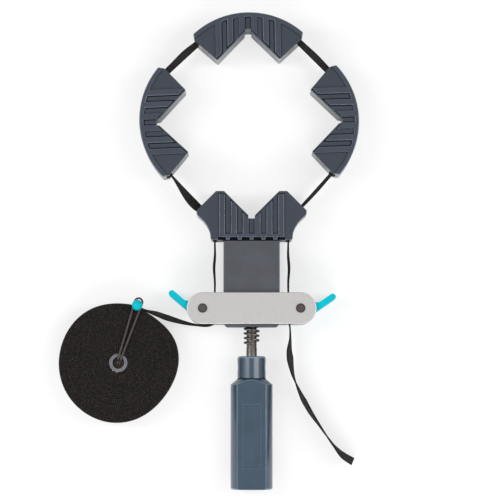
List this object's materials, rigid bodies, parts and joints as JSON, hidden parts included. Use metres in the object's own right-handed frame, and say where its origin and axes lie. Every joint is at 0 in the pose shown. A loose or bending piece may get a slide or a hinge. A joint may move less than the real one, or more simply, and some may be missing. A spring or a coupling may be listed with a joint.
{
  "type": "band clamp",
  "caption": "Frame clamp with a webbing band, V jaws for four corners, a screw spindle with a handle, and two cam levers.",
  "frame": {"origin": "middle of the back plate's outer face, under the spindle's line", "axes": "+Y from the handle to the jaws, +Z out of the front face, +X to the right seen from the front"},
  "size_m": [0.1946, 0.3104, 0.0279],
  "materials": {
    "plate_steel": "fine blasted, zinc plated",
    "rivet_steel": "dark, turned",
    "spindle_steel": "rolled thread, oiled",
    "bright_steel": "machined",
    "jaw_plastic": "satin moulded",
    "slider_plastic": "fine grained",
    "handle_plastic": "semi gloss",
    "turquoise_plastic": "satin moulded",
    "core_plastic": "matte",
    "band_fabric": "woven webbing",
    "elastic_fabric": "braided elastic cord"
  },
  "bodies": {
    "block": {"front_plate": "plate_steel", "back_plate": "plate_steel", "left_rivet": "rivet_steel", "right_rivet": "rivet_steel", "left_cheek": "bright_steel", "right_cheek": "bright_steel", "spindle_nut": "bright_steel", "left_band_run": "band_fabric", "right_band_run": "band_fabric", "band_lead": "band_fabric", "band_tail": "band_fabric", "band_roll": "band_fabric", "roll_core": "core_plastic", "elastic_loop": "elastic_fabric", "elastic_bead": "turquoise_plastic"},
    "jaw_slider": {"slider": "slider_plastic", "fixed_jaw": "jaw_plastic", "left_jaw_screw": "bright_steel", "right_jaw_screw": "bright_steel", "thrust_washer": "bright_steel", "retaining_ring": "spindle_steel", "pressure_pad": "bright_steel", "band_loop": "band_fabric"},
    "screw_handle": {"spindle": "spindle_steel", "handle": "handle_plastic", "handle_pin": "bright_steel"},
    "left_cam": {"left_lever": "turquoise_plastic"},
    "right_cam": {"right_lever": "turquoise_plastic"},
    "left_corner": {"left_jaw": "jaw_plastic"},
    "top_corner": {"top_jaw": "jaw_plastic"},
    "right_corner": {"right_jaw": "jaw_plastic"}
  },
  "joints": [
    {"name": "jaw_slide", "type": "slide", "parent": "block", "child": "jaw_slider", "axis": [0, 1, 0], "range_m": [-0.032, 0.012], "deforming": ["left_band_run", "right_band_run"]},
    {"name": "spindle_turn", "type": "hinge", "parent": "jaw_slider", "child": "screw_handle", "pos_m": [0, 0, 0.0135], "axis": [0, 1, 0], "range_deg": [-3841, 1441]},
    {"name": "left_lever_turn", "type": "hinge", "parent": "block", "child": "left_cam", "pos_m": [-0.03175, 0, 0.0135], "axis": [0, 0, 1], "range_deg": [-35, 0]},
    {"name": "right_lever_turn", "type": "hinge", "parent": "block", "child": "right_cam", "pos_m": [0.03175, 0, 0.0135], "axis": [0, 0, 1], "range_deg": [0, 35]},
    {"name": "left_jaw_swivel", "type": "hinge", "parent": "jaw_slider", "child": "left_corner", "pos_m": [-0.0198, 0.1228, 0.0135], "axis": [0, 0, 1], "range_deg": [-8, 8]},
    {"name": "top_jaw_swivel", "type": "hinge", "parent": "jaw_slider", "child": "top_corner", "pos_m": [-0.0016, 0.1397, 0.0135], "axis": [0, 0, 1], "range_deg": [-8, 8]},
    {"name": "right_jaw_swivel", "type": "hinge", "parent": "jaw_slider", "child": "right_corner", "pos_m": [0.0166, 0.1215, 0.0135], "axis": [0, 0, 1], "range_deg": [-8, 8]}
  ],
  "couplings": [
    {"joint": "spindle_turn", "follows": "jaw_slide", "rad_per_m": 2094.4}
  ]
}
